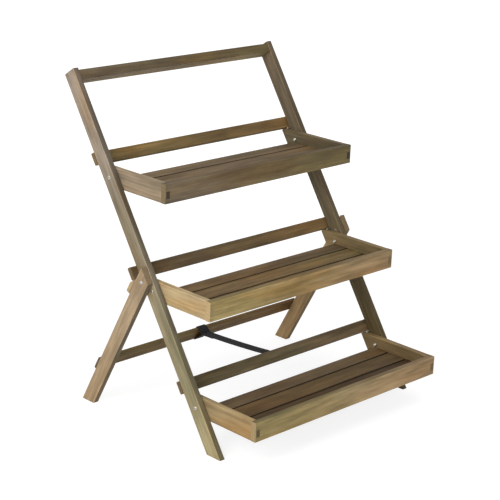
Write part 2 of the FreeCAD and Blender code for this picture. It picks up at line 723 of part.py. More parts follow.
def make_screws():
    form = screw_form("board_screw_form", "dims.screw_length")
    stile_middle = (size.frame_width - size.stile_thickness) / 2
    heights = [slat_along(tier) - size.slat_height / 2 for tier in range(len(TIERS))]
    group("back_slat_screws", form,
          screw_places(LADDER, (-stile_middle, stile_middle),
                       size.stile_depth + size.slat_thickness, heights))

    leg_middle = size.frame_width / 2 + size.leg_gap + size.leg_thickness / 2
    group("crossbar_screws", form,
          screw_places(LEGS, (-leg_middle, leg_middle),
                       size.leg_pivot_from_rear + size.bar_thickness,
                       (-size.bar_down - size.bar_height / 2,)))


# The strap: flat webbing from the back of the lower slat to a loop sewn round the crossbar.

STRAP_TAB_FACE = size.stile_depth + size.slat_thickness
STRAP_BEND_ALONG = slat_along(0) - size.strap_root


def flat_face(points):
    """A face of the plane X = 0 through points."""
    return Part.Face(Part.makePolygon(points + points[:1]))


def webbing(face, left, right):
    """A face of the plane X = 0, swept across between two places."""
    face.translate(Vector(left, 0, 0))
    return face.extrude(Vector(right - left, 0, 0))


def strap_edges(offset):
    """The strap's left and right edge, where its middle is at an offset."""
    return offset - size.strap_width / 2, offset + size.strap_width / 2


def strap_loop_outline(spread):
    """Round the crossbar at a distance, and drawn to a point ahead of it."""
    low = -size.bar_down - size.bar_height
    high = -size.bar_down
    near = size.leg_pivot_from_rear
    far = near + size.bar_thickness + spread
    point = near - size.strap_nose - spread
    corners = [(far, high + spread), (far, low - spread), (near, low - spread),
               (point, high - size.strap_nose_down - spread),
               (point, high - size.strap_nose_down), (near, high + spread)]
    return flat_face([LEGS.multVec(Vector(0, y, z)) for y, z in corners])


def make_strap_run(face, start, nose):
    """The strap's free run, askew: its edges go from one offset to the other."""
    slat_left, slat_right = strap_edges(size.strap_slat_offset)
    bar_left, bar_right = strap_edges(size.strap_bar_offset)
    wide = webbing(face, min(slat_left, bar_left), max(slat_right, bar_right))
    low = wide.BoundBox.ZMin
    plan = Part.Face(Part.makePolygon([
        Vector(slat_left, start.y, low), Vector(slat_right, start.y, low),
        Vector(bar_right, nose.y, low), Vector(bar_left, nose.y, low),
        Vector(slat_left, start.y, low)]))
    return wide.common(plan.extrude(Vector(0, 0, wide.BoundBox.ZLength)))


def make_strap():
    """The strap, in one piece: a tab on the slat, the sagging run and the loop."""
    thick = size.strap_thickness
    loop = strap_loop_outline(size.strap_clearance + thick).cut(
        strap_loop_outline(size.strap_clearance))
    nose = LEGS.multVec(Vector(0, size.leg_pivot_from_rear - size.strap_nose
                               - size.strap_clearance - thick / 2,
                               -size.bar_down - size.strap_nose_down))
    start = on_ladder(0, STRAP_TAB_FACE, STRAP_BEND_ALONG)
    lift = Vector(0, 0, thick / 2)
    middle = (start + nose) / 2 - Vector(0, 0, size.strap_sag)
    run = Part.Face(Part.Wire([
        Part.Arc(start + lift, middle + lift, nose + lift).toShape(),
        Part.makeLine(nose + lift, nose - lift),
        Part.Arc(nose - lift, middle - lift, start - lift).toShape(),
        Part.makeLine(start - lift, start + lift)]))
    slat = flat_face([on_ladder(0, back, STRAP_BEND_ALONG + rise)
                      for back, rise in ((STRAP_TAB_FACE, -size.strap_tab),
                                         (STRAP_TAB_FACE, size.strap_tab),
                                         (size.stile_depth, size.strap_tab),
                                         (size.stile_depth, -size.strap_tab))])
    tab = flat_face([on_ladder(0, back, STRAP_BEND_ALONG + rise)
                     for back, rise in ((STRAP_TAB_FACE, thick / 2),
                                        (STRAP_TAB_FACE + thick, thick / 2),
                                        (STRAP_TAB_FACE + thick, -size.strap_tab),
                                        (STRAP_TAB_FACE, -size.strap_tab))])
    strap = webbing(loop, *strap_edges(size.strap_bar_offset)).fuse([
        make_strap_run(run.cut(slat), start, nose),
        webbing(tab, *strap_edges(size.strap_slat_offset))]).removeSplitter()
    part = document.addObject("Part::Feature", "stay_strap")
    part.Shape = strap.cut(strap_screw_bores(thick)).Solids[0]
    keep(part, "stay_strap")
    print("strap: %.0f mm from the slat to the loop" % (nose - start).Length)


STRAP_SCREW_ALONG = STRAP_BEND_ALONG - size.strap_tab / 2


def strap_screw_bores(depth):
    """Clearance holes through the tab."""
    bores = []
    for side in (-1, 1):
        across = size.strap_slat_offset + side * size.strap_screw_spacing / 2
        bore = Part.makeCylinder(size.screw_radius + size.joint_clearance, depth,
                                 Vector(across, STRAP_TAB_FACE, STRAP_SCREW_ALONG),
                                 Vector(0, 1, 0))
        bore.transformShape(LADDER.toMatrix())
        bores.append(bore)
    return bores


def make_strap_screws():
    """Round-headed screws through the tab into the lower back slat."""
    tip = "(dims.strap_screw_length - dims.strap_thickness)"
    form = revolve("strap_screw_form", [
        ("-dims.strap_thickness - dims.joint_clearance - dims.strap_screw_head_height", "0"),
        ("-dims.strap_thickness - dims.joint_clearance - dims.strap_screw_head_height",
         "dims.screw_head_radius * 0.6"),
        ("-dims.strap_thickness - dims.joint_clearance", "dims.screw_head_radius"),
        ("-dims.strap_thickness - dims.joint_clearance", "dims.screw_radius"),
        (tip + " - dims.screw_radius", "dims.screw_radius"),
        (tip, "0")])
    across = [size.strap_slat_offset + side * size.strap_screw_spacing / 2 for side in (-1, 1)]
    group("strap_screws", form,
          screw_places(LADDER, across, STRAP_TAB_FACE, (STRAP_SCREW_ALONG,)))


def finish():
    """Check every object, centre the stand over its own middle and write the sub-parts."""
    document.recompute()
    for item in document.Objects:
        if "Invalid" in item.State or "Error" in item.State:
            raise RuntimeError("%s failed: %s" % (item.Name, item.State))
    whole = FreeCAD.BoundBox()
    for part in subparts:
        if part.Shape.isNull() or not part.Shape.isValid():
            raise RuntimeError(part.Label + " has no valid shape")
        whole.add(part.Shape.optimalBoundingBox())
    shift = Vector(-(whole.XMin + whole.XMax) / 2, -(whole.YMin + whole.YMax) / 2, -whole.ZMin)
    os.makedirs("parts", exist_ok=True)
    for part in subparts:
        part.Placement = Placement(shift, Rotation()).multiply(part.Placement)
    document.recompute()
    for part in subparts:
        part.Shape.exportStep("parts/%s.step" % part.Label)
    print("size: %.1f x %.1f x %.1f mm" % (whole.XLength, whole.YLength, whole.ZLength))
    for name, point in [("leg pivot", LEG_PIVOT)] + [
            (TIERS[tier] + " tray pivot", tray_pivot(tier)) for tier in range(len(TIERS))]:
        place = point + shift
        print("%s: y %.3f z %.3f" % (name, place.y, place.z))


for side_name, side in SIDES:
    make_stile(side_name + "_stile", side)
    make_leg(side_name + "_rear_leg", side)
    make_stop_block(side_name + "_stop_block", side)
make_rail()
make_back_slat(0, "dims.frame_width")
make_back_slat(1, "dims.frame_width + 2 * (dims.leg_gap + dims.leg_thickness)")
make_back_slat(2, "dims.frame_width")
make_crossbar()
for tier in range(len(TIERS)):
    make_front_board(tier)
    for side_name, side in SIDES:
        make_side_board(tier, side_name, side)
    for position, (front, rear) in zip(("front", "middle", "rear"), floor_edges()):
        make_floor_slat(tier, position, front, rear)
make_tray_hardware()
make_leg_hardware()
make_screws()
make_strap()
make_strap_screws()
finish()
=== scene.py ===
import math

import bmesh
import bpy
from mathutils import Matrix, Vector


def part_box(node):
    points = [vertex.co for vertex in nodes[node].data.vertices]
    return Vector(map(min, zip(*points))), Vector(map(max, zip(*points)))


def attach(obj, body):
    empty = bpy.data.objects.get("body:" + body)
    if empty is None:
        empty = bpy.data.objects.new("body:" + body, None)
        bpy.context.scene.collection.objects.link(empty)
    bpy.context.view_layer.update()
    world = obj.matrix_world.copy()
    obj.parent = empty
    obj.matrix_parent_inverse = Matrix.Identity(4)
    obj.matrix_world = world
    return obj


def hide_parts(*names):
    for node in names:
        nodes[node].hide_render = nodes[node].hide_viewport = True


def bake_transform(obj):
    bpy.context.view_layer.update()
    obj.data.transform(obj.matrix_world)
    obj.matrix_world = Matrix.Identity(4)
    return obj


# A folding plant stand of grey-washed hardwood: every board has its own grain, with end grain on
# its cut ends. The strap is woven webbing, sewn round the crossbar. Metres and degrees.

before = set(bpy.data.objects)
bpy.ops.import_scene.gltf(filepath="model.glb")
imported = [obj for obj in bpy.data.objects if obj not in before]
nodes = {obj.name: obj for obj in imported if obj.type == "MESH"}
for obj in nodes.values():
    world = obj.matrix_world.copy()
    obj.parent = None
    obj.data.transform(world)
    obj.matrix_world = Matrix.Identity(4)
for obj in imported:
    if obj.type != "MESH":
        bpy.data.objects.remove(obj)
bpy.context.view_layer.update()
scene = bpy.context.scene

LEAN = math.radians(33.5)
LEG_ANGLE = math.radians(28.5)


# Node helpers

class Graph:
    """Builds the nodes of a material or a world, with short calls that return sockets."""

    def __init__(self, owner):
        owner.use_nodes = True
        self.owner = owner
        self.tree = owner.node_tree
        self.tree.nodes.clear()

    def node(self, kind, inputs=None, **settings):
        node = self.tree.nodes.new(kind)
        for key, value in settings.items():
            setattr(node, key, value)
        for key, value in (inputs or {}).items():
            socket = node.inputs[key]
            if isinstance(value, bpy.types.NodeSocket):
                self.tree.links.new(value, socket)
            else:
                socket.default_value = value
        return node

    def math(self, operation, a, b=0.0, c=0.0, clamp=False):
        node = self.node("ShaderNodeMath", {0: a, 1: b, 2: c},
                         operation=operation, use_clamp=clamp)
        return node.outputs[0]

    def total(self, *terms):
        """The sum of (socket, weight) pairs."""
        result = 0.0
        for socket, weight in terms:
            result = self.math("MULTIPLY_ADD", socket, weight, result)
        return result

    def noise(self, vector, detail=3.0, roughness=0.5):
        node = self.node("ShaderNodeTexNoise", {"Vector": vector, "Scale": 1.0, "Detail": detail,
                                                "Roughness": roughness})
        return node.outputs["Fac"]

    def spread(self, value, low, high, to_low=0.0, to_high=1.0):
        node = self.node("ShaderNodeMapRange",
                         {"Value": value, "From Min": low, "From Max": high,
                          "To Min": to_low, "To Max": to_high},
                         interpolation_type="SMOOTHSTEP")
        return node.outputs["Result"]

    def mix(self, factor, a, b, blend="MIX"):
        node = self.node("ShaderNodeMix", {0: factor, 6: a, 7: b},
                         data_type="RGBA", blend_type=blend)
        return node.outputs[2]

    def tone(self, colour, factor):
        """A colour made lighter or darker by a socket."""
        node = self.node("ShaderNodeVectorMath", {0: colour, "Scale": factor},
                         operation="SCALE")
        return node.outputs[0]

    def shift(self, vector, scale=(1, 1, 1), rotation=(0, 0, 0), offset=(0, 0, 0)):
        node = self.node("ShaderNodeMapping",
                         {"Vector": vector, "Location": offset, "Rotation": rotation,
                          "Scale": scale})
        return node.outputs["Vector"]

    def split(self, vector):
        return self.node("ShaderNodeSeparateXYZ", {0: vector}).outputs

    def join(self, x, y, z):
        return self.node("ShaderNodeCombineXYZ", {0: x, 1: y, 2: z}).outputs[0]

    def surface(self, shader, kind="ShaderNodeOutputMaterial"):
        self.node(kind, {"Surface": shader})
        return self.owner

    def finish(self, colour, roughness, height, bump, distance, metallic=0.0, specular=0.5):
        bumped = self.node("ShaderNodeBump",
                           {"Height": height, "Strength": bump, "Distance": distance})
        shader = self.node("ShaderNodeBsdfPrincipled",
                           {"Base Color": colour, "Roughness": roughness, "Metallic": metallic,
                            "Specular IOR Level": specular, "Normal": bumped.outputs[0]})
        return self.surface(shader.outputs[0])


def new_material(name):
    return Graph(bpy.data.materials.new(name))


def linear(red, green, blue):
    """A colour written as 0 to 255, as the shader wants it."""
    def channel(value):
        value /= 255
        return value / 12.92 if value <= 0.04045 else ((value + 0.055) / 1.055) ** 2.4
    return (channel(red), channel(green), channel(blue), 1.0)


# Wood. Each board's own space has X along its length; for a stile or a leg, Y is its depth.

QUARTER = math.radians(90)
BOARD_SPACE = {
    "across": Matrix.Identity(3),
    "stile": Matrix.Rotation(QUARTER, 3, "Y") @ Matrix.Rotation(LEAN, 3, "X"),
    "leg": Matrix.Rotation(QUARTER, 3, "Y") @ Matrix.Rotation(-LEG_ANGLE, 3, "X"),
    "depth": Matrix.Rotation(-QUARTER, 3, "Z"),
}


class Board:
    """What sets one kind of board apart: grain direction, colours and the tone of some faces, which
    is painted light and shade.
    """

    def __init__(self, direction, light, dark, edge=1.0, rim=1.0, under=1.0, end=0.8,
                 rings=0.2, arris=1.3, arris_width=0.003):
        self.direction = direction
        self.light = light          # lightest and darkest fibre; for some kinds with painted shade in them
        self.dark = dark
        self.edge = edge            # painted shade on the faces across the depth or width of the board
        self.rim = rim              # painted shade on the faces above and below
        self.under = under          # painted light on the face below alone
        self.end = end              # tone of the cut ends: end grain, with painted shade on the legs' ends and painted light on the front boards' ends
        self.rings = rings          # how strongly the late wood shows
        self.arris = arris          # tone of the long arrises: above 1 a painted highlight on their rounding, below 1 painted shade along the gaps of the floor slats
        self.arris_width = arris_width


# The right stile's colours are the left stile's darkened by painted shade; the floor slats' and the
# crossbar's colours hold painted shade too.
BOARDS = {
    "left_stile": Board("stile", (168, 153, 129), (132, 118, 94), edge=0.44),
    "right_stile": Board("stile", (124, 107, 82), (92, 77, 55), edge=0.66),
    "top_rail": Board("across", (112, 96, 71), (82, 68, 48), under=2.2),
    "back_slat": Board("across", (126, 105, 74), (88, 72, 49), end=1.05),
    "leg": Board("leg", (193, 167, 131), (157, 131, 98), edge=0.48, end=0.45),
    "crossbar": Board("across", (130, 108, 76), (99, 81, 54)),
    "block": Board("leg", (182, 158, 121), (148, 124, 90)),
    "front": Board("across", (164, 143, 106), (128, 109, 77), rim=0.56, end=1.25, arris=1.12),
    "side": Board("depth", (192, 169, 129), (156, 133, 95)),
    # floor slats: painted shade on their sides and arrises, for the dark gaps between them
    "floor": Board("across", (126, 105, 76), (91, 74, 51), edge=0.20, arris=0.42,
                   arris_width=0.006),
}

# Boards of one kind differ: how dark each is, partly painted shade on the right side boards and on
# the lower tray's front and middle floor slats, and the wash on its near or lower and its far end.
TONE_AND_SHADE = {
    "lower_tray_right_side": 0.69,
    "middle_tray_right_side": 0.74,
    "upper_tray_right_side": 0.62,
    "lower_tray_left_side": 0.86,
    "middle_tray_left_side": 0.98,
    "upper_tray_left_side": 0.81,
    "middle_tray_front": 1.12,
    "upper_tray_front": 0.75,
    "lower_tray_front_slat": 0.66,
    "lower_tray_middle_slat": 0.82,
    "lower_tray_rear_slat": 0.96,
    "right_rear_leg": 0.94,
    "middle_back_slat": 1.03,
    "upper_back_slat": 1.10,
}
PLAIN = (1.00, 1.00, 1.00, 1.0)
GREY = (0.94, 0.98, 1.08, 1.0)
MAUVE = (0.96, 0.96, 1.12, 1.0)
OLIVE = (0.98, 1.02, 0.82, 1.0)
GREEN_GREY = (0.84, 1.00, 1.04, 1.0)
PINK = (1.06, 0.97, 0.98, 1.0)
BROWN = (1.05, 0.97, 0.82, 1.0)
UMBER = (1.08, 0.90, 0.62, 1.0)
WASH = {
    "left_stile": (OLIVE, MAUVE),
    "right_stile": (OLIVE, GREY),
    "top_rail": (GREY, OLIVE),
    "lower_back_slat": (GREEN_GREY, GREY),
    "middle_back_slat": (GREY, BROWN),
    "upper_back_slat": (OLIVE, BROWN),
    "lower_tray_front": (OLIVE, PINK),
    "middle_tray_front": (OLIVE, PINK),
    "upper_tray_front": (MAUVE, OLIVE),
    "lower_tray_left_side": (BROWN, PLAIN),
    "upper_tray_left_side": (MAUVE, MAUVE),
    "lower_tray_right_side": (BROWN, BROWN),
    "middle_tray_right_side": (BROWN, BROWN),
    "lower_tray_front_slat": (UMBER, UMBER),
    "lower_tray_middle_slat": (UMBER, BROWN),
    "middle_tray_front_slat": (OLIVE, BROWN),
    "middle_tray_middle_slat": (BROWN, OLIVE),
    "middle_tray_rear_slat": (BROWN, PLAIN),
    "left_rear_leg": (PLAIN, GREY),
    "right_rear_leg": (BROWN, BROWN),
    "rear_crossbar": (OLIVE, BROWN),
}
STAINED_TENONS = {
    "lower_tray_left_side": 0.36,
    "upper_tray_left_side": 0.20,
    "upper_tray_right_side": 0.26,
}
CLEAN_TENON = 0.80
STAIN_WARM = (1.02, 0.90, 0.74, 1.0)
STAIN_COLD = (0.88, 0.94, 0.98, 1.0)

GRAIN_STEP = (1.37, 0.413, 0.291)       # from one board's place in the noise to the next's
RINGS_PER_METRE = 130.0
PITH_AWAY, PITH_SPREAD = 0.045, 0.012   # how far the pith is from the board's middle
LATE_TONE = 0.55                        # of late wood and pores, against the darkest fibre
ARRIS_START = 0.0005                    # the arris tone is full up to here from an arris
NEAR_END_REACH, NEAR_END_TONE = 0.02, 0.90  # near a cut end
TENON_NEAR, TENON_FAR = 0.002, 0.004    # a tenon's end is nearer, a shoulder is farther
WOOD_ROUGH, WOOD_ROUGHER = 0.52, 0.70
WOOD_BUMP, WOOD_RELIEF, WOOD_SPECULAR = 0.20, 0.0005, 0.16


def wood(name, board, seed, box):
    """Sawn hardwood: fibres, pores, faint rings, broad stains, end grain, and painted light and
    shade on arrises and on some faces.
    """
    g = new_material("wood_" + name)
    # how dark this board is, with painted shade for some boards
    depth = TONE_AND_SHADE.get(name, 1.0)
    light, dark = (linear(*(min(255, channel * depth) for channel in colour))
                   for colour in (board.light, board.dark))
    coordinates = g.node("ShaderNodeTexCoord")
    turn = BOARD_SPACE[board.direction].to_euler()
    place = g.shift(coordinates.outputs["Object"], rotation=turn)
    grain = g.shift(place, offset=tuple(seed * step for step in GRAIN_STEP))

    def field(scale, detail=3.0, roughness=0.5, offset=(0, 0, 0)):
        """Noise with so many waves per metre along, across and through the board."""
        return g.noise(g.shift(grain, scale, offset=offset), detail, roughness)

    broad = field((1.6, 14.0, 14.0), 2.0)
    streaks = field((2.4, 90.0, 90.0), 4.0, 0.6)
    fibres = field((9.0, 480.0, 480.0), 5.0, 0.62)
    pores = g.spread(field((42.0, 1500.0, 1500.0), 2.0), 0.62, 0.74)

    # rings about a pith that wanders beside the board: drift bends them into long arches
    drift = field((0.9, 5.0, 5.0), 2.0)
    wander = field((4.0, 26.0, 26.0))
    x, y, z = g.split(place)
    pith_y = g.total((drift, 0.085), (y, 1.0), (PITH_SPREAD * math.sin(seed * 7), 1.0))
    pith_z = g.total((drift, -0.06), (z, 1.0),
                     (PITH_AWAY + PITH_SPREAD * math.cos(seed * 5), 1.0))
    radius = g.math("SQRT", g.total((g.math("MULTIPLY", pith_y, pith_y), 1.0),
                                    (g.math("MULTIPLY", pith_z, pith_z), 1.0)))
    ring = g.math("FRACT", g.total((radius, RINGS_PER_METRE), (wander, 2.4)))
    rings = g.math("MULTIPLY", g.spread(ring, 0.25, 0.9), g.spread(ring, 0.92, 1.0, 1.0, 0.0))
    rings = g.math("MULTIPLY", rings, g.spread(broad, 0.35, 0.65, 0.35, 1.0))

    fibre_mix = g.total((broad, 0.50), (streaks, 0.32), (fibres, 0.30))
    colour = g.mix(g.spread(fibre_mix, 0.42, 0.70), dark, light)
    late = tuple(channel * LATE_TONE for channel in dark[:3]) + (1.0,)
    colour = g.mix(g.math("MULTIPLY", rings, board.rings), colour, late)
    colour = g.mix(g.math("MULTIPLY", pores, 0.35), colour, late)

    # the wash differs from end to end, and stains of two hues and of two depths come and go
    low, high = box
    blotches = field((7.0, 24.0, 24.0), offset=(2, 5, 3))
    drifted = g.total((x, 1.0), (blotches, 0.5), (-0.25, 1.0))
    at_low, at_high = WASH.get(name, (PLAIN, PLAIN))
    colour = g.mix(1.0, colour, g.mix(g.spread(drifted, low[0], high[0]), at_low, at_high),
                   "MULTIPLY")
    stains = field((3.2, 20.0, 20.0), 2.5, offset=(4, 1, 2))
    colour = g.mix(g.spread(stains, 0.52, 0.68, 0.0, 0.9), colour, STAIN_WARM, "MULTIPLY")
    colour = g.mix(g.spread(stains, 0.48, 0.32, 0.0, 0.9), colour, STAIN_COLD, "MULTIPLY")
    colour = g.tone(colour, g.spread(blotches, 0.30, 0.70, 0.78, 1.16))
    mottle = field((11.0, 95.0, 95.0), 2.0, offset=(1, 2, 6))
    colour = g.tone(colour, g.spread(mottle, 0.34, 0.66, 0.88, 1.10))

    # the long arrises get a painted highlight, and on the floor slats painted shade; each board is
    # a little darker near its cut ends
    to_edge = [g.math("MINIMUM", g.total((axis, 1.0), (-low[i], 1.0)),
                      g.total((axis, -1.0), (high[i], 1.0)))
               for i, axis in enumerate((x, y, z))]
    dust_and_arris_light = g.math("MULTIPLY", g.spread(to_edge[1], ARRIS_START, board.arris_width, 1.0, 0.0),
                  g.spread(to_edge[2], ARRIS_START, board.arris_width, 1.0, 0.0))
    dust_and_arris_light = g.math("MULTIPLY", dust_and_arris_light, g.spread(streaks, 0.35, 0.65))
    colour = g.tone(colour, g.total((dust_and_arris_light, board.arris - 1.0), (1.0, 1.0)))
    colour = g.tone(colour, g.spread(to_edge[0], 0.0, NEAR_END_REACH, NEAR_END_TONE, 1.0))

    # painted light and shade by which way a face looks: across the board, above and below, and
    # below alone
    normal = g.split(g.shift(coordinates.outputs["Normal"], rotation=turn))
    for facing, tone in ((g.math("ABSOLUTE", normal[1]), board.edge),
                         (g.math("ABSOLUTE", normal[2]), board.rim),
                         (g.math("MULTIPLY", normal[2], -1.0), board.under)):
        if tone != 1.0:
            colour = g.tone(colour, g.spread(facing, 0.6, 0.9, 1.0, tone))
    flecks = field((600.0, 900.0, 900.0))
    ends = g.spread(g.math("ABSOLUTE", normal[0]), 0.72, 0.93)
    end_colour = g.mix(g.spread(flecks, 0.35, 0.7), dark, light)
    end_colour = g.mix(g.math("MULTIPLY", rings, 0.35), end_colour, late)
    # end grain, toned by board.end, which holds painted shade and painted light for some kinds of
    # board
    end_tone = board.end
    if name.endswith("_side"):
        tenon = STAINED_TENONS.get(name, CLEAN_TENON)
        end_tone = g.spread(x, low[0] + TENON_NEAR, low[0] + TENON_FAR, tenon, board.end)
    colour = g.mix(ends, colour, g.tone(end_colour, end_tone))

    height = g.total((fibres, 0.5), (rings, -0.25), (pores, -0.6))
    roughness = g.spread(fibres, 0.2, 0.8, WOOD_ROUGH, WOOD_ROUGHER)
    return g.finish(colour, roughness, height, WOOD_BUMP, WOOD_RELIEF,
                    specular=WOOD_SPECULAR)


PLATED = (0.62, 0.60, 0.56, 1.0)
# darker steel for the washers sunk between the boards: painted shade
SUNK_SHADE = (0.34, 0.32, 0.29, 1.0)
# near-black steel for the sockets' walls and floor: painted shade of a deep socket
SOCKET_SHADE = (0.10, 0.095, 0.085, 1.0)
DULL_SPOT = (0.30, 0.27, 0.22, 1.0)


def metal(name, tint, rough):
    """Plated steel, with faint turning marks and dull spots."""
    g = new_material(name)
    place = g.node("ShaderNodeTexCoord").outputs["Object"]
    spots = g.noise(g.shift(place, (900.0, 900.0, 900.0)))
    marks = g.noise(g.shift(place, (9000.0, 500.0, 500.0)), 2.0)
    colour = g.mix(g.spread(spots, 0.35, 0.7), tint, DULL_SPOT)
    roughness = g.spread(spots, 0.3, 0.7, rough, rough + 0.18)
    return g.finish(colour, roughness, marks, 0.08, 0.0002, metallic=1.0)


RIB_PITCH, PICK_PITCH = 0.0017, 0.0011  # of the webbing, across and along
CHEVRONS_PER_METRE, CHEVRON_SLANT = 147.0, 0.0045
BLACK = (0.005, 0.005, 0.006, 1)
CHARCOAL = (0.024, 0.024, 0.028, 1)
FUZZ = (0.05, 0.05, 0.055, 1)
DUST = (0.04, 0.038, 0.036, 1)


def webbing(name):
    """Flat woven webbing: herringbone across the band, from the strap's own UVs in metres."""
    g = new_material(name)
    u, v, _ = g.split(g.node("ShaderNodeTexCoord").outputs["UV"])
    rib = g.math("SINE", g.math("MULTIPLY", v, 2 * math.pi / RIB_PITCH))
    chevron = g.math("FRACT", g.math("MULTIPLY", v, CHEVRONS_PER_METRE))
    side = g.math("ABSOLUTE", g.math("SUBTRACT", chevron, 0.5))
    slant = g.total((u, 1.0), (side, CHEVRON_SLANT))
    pick = g.math("SINE", g.math("MULTIPLY", slant, 2 * math.pi / PICK_PITCH))
    level = g.total((rib, 0.18), (pick, 0.32), (0.5, 1.0))
    fuzz = g.noise(g.shift(g.join(u, v, 0.0), (2200.0, 2200.0, 1.0)))
    dust_and_arris_light = g.noise(g.shift(g.join(u, v, 0.0), (60.0, 60.0, 1.0)))
    colour = g.mix(g.spread(level, 0.1, 0.9), BLACK, CHARCOAL)
    colour = g.mix(g.math("MULTIPLY", g.spread(fuzz, 0.55, 0.8), 0.4), colour, FUZZ)
    colour = g.mix(g.math("MULTIPLY", g.spread(dust_and_arris_light, 0.5, 0.8), 0.25), colour, DUST)
    return g.finish(colour, 0.82, g.total((level, 1.0), (fuzz, 0.3)), 0.5, 0.0004, specular=0.25)


def thread(name):
    g = new_material(name)
    place = g.node("ShaderNodeTexCoord").outputs["Object"]
    twist = g.noise(g.shift(place, (2600, 2600, 2600)), 2.0)
    colour = g.mix(twist, (0.012, 0.012, 0.013, 1), (0.06, 0.06, 0.065, 1))
    return g.finish(colour, 0.6, twist, 0.3, 0.0002)


def board_kind(node):
    if node.endswith("screws"):
        return None
    for key in ("left_stile", "right_stile", "top_rail", "back_slat", "crossbar"):
        if key in node:
            return key
    for ending, kind in (("_rear_leg", "leg"), ("_stop_block", "block"), ("_tray_front", "front"),
                         ("_side", "side"), ("_slat", "floor")):
        if node.endswith(ending):
            return kind
    return None


def board_box(mesh, turn):
    """Lowest and highest corner of a mesh in its board's own space."""
    points = [turn @ vertex.co for vertex in mesh.vertices]
    return [[pick(point[i] for point in points) for i in range(3)] for pick in (min, max)]


def dress_nodes():
    plated = metal("plated_steel", PLATED, 0.28)
    # the washers, sunk between boards, get darker steel: painted shade
    sunk_shade = metal("sunk_shade_steel", SUNK_SHADE, 0.42)
    for number, name in enumerate(sorted(nodes)):
        mesh = nodes[name].data
        kind = board_kind(name)
        if kind is None:
            material = sunk_shade if name.endswith("washers") else plated
        else:
            board = BOARDS[kind]
            box = board_box(mesh, BOARD_SPACE[board.direction])
            material = wood(name, board, number + 3.0, box)
        mesh.materials.clear()
        mesh.materials.append(material)


# The strap follows the same line as its solid: tab, bend, run, loop and eye. Its middle moves
# across from the one offset at the slat to the other at the crossbar.

SHIFT_Y = -0.254520             # of the stiles' front edges at the floor
STILE_DEPTH = 0.041
SLAT_THICKNESS = 0.012
SLAT_TOP = 0.218                # of the lower back slat, along the stile
PIVOT_BACK, PIVOT_ALONG = 0.0205, 0.475
BAR_NEAR, BAR_FAR = 0.0205, 0.0305      # the crossbar, from the legs' pivot
BAR_HIGH, BAR_LOW = 0.304, 0.341
STRAP_WIDTH = 0.030
STRAP_THICKNESS = 0.0017
LAP_DROP = STRAP_THICKNESS * 1.04
STRAP_SAG = 0.002
STRAP_ROOT = 0.007              # below the slat's top
STRAP_NOSE, STRAP_NOSE_DOWN = 0.0173, 0.001
SLAT_OFFSET, BAR_OFFSET = -0.022, -0.005        # of the strap's middle, across


def on_ladder(back, along, across=0.0):
    return Vector((across, along * math.sin(LEAN) + back * math.cos(LEAN) + SHIFT_Y,
                   along * math.cos(LEAN) - back * math.sin(LEAN)))


def on_legs(back, down, across=0.0):
    pivot = on_ladder(PIVOT_BACK, PIVOT_ALONG, across)
    return pivot + Vector((0, back * math.cos(LEG_ANGLE) + down * math.sin(LEG_ANGLE),
                           back * math.sin(LEG_ANGLE) - down * math.cos(LEG_ANGLE)))


def catmull(points, steps):
    """A smooth line through points."""
    out = []
    for i in range(len(points) - 1):
        before = points[max(i - 1, 0)]
        a, b = points[i], points[i + 1]
        after = points[min(i + 2, len(points) - 1)]
        for j in range(steps):
            t = j / steps
            out.append(0.5 * (2 * a + (b - before) * t
                              + (2 * before - 5 * a + 4 * b - after) * t * t
                              + (3 * a - before - 3 * b + after) * t ** 3))
    out.append(points[-1])
    return out


def strap_band(name, line, width, thickness, material):
    """A flat band along a line, soft at its edges, with UVs in metres."""
    upper = [(-0.5, 0.25), (-0.49, 0.5), (-0.46, 0.5), (-0.25, 0.5), (0.0, 0.5), (0.25, 0.5),
             (0.46, 0.5), (0.49, 0.5), (0.5, 0.25)]
    profile = upper + [(across, -depth) for across, depth in reversed(upper)]
    mesh = bpy.data.meshes.new(name)
    shape = bmesh.new()
    layer = shape.loops.layers.uv.new("UVMap")
    rings = []
    along = [0.0]
    for i, point in enumerate(line):
        if i:
            along.append(along[-1] + (point - line[i - 1]).length)
        ahead = line[min(i + 1, len(line) - 1)] - line[max(i - 1, 0)]
        normal = Vector((1, 0, 0)).cross(ahead).normalized()
        rings.append([shape.verts.new(point + Vector((across * width, 0, 0))
                                      + normal * (depth * thickness))
                      for across, depth in profile])
    count = len(profile)
    for i in range(len(rings) - 1):
        for j in range(count):
            k = (j + 1) % count
            face = shape.faces.new((rings[i][j], rings[i][k], rings[i + 1][k], rings[i + 1][j]))
            face.smooth = True
            for loop, (row, column) in zip(face.loops, ((i, j), (i, k), (i + 1, k), (i + 1, j))):
                loop[layer].uv = (along[row], profile[column][0] * width)
    for row, order in ((0, -1), (len(rings) - 1, 1)):
        face = shape.faces.new(rings[row][::order])
        for loop in face.loops:
            loop[layer].uv = (along[row], loop.vert.co.x - line[row].x)
    bmesh.ops.recalc_face_normals(shape, faces=shape.faces)
    shape.to_mesh(mesh)
    shape.free()
    band = bpy.data.objects.new(name, mesh)
    scene.collection.objects.link(band)
    mesh.materials.append(material)
    return band


def on_run(start, nose, share, drop=0.0):
    """A point of the strap's free run, a share of the way from the slat to the nose."""
    point = start.lerp(nose, share)
    point.z -= STRAP_SAG * 4 * share * (1 - share) + drop
    return point


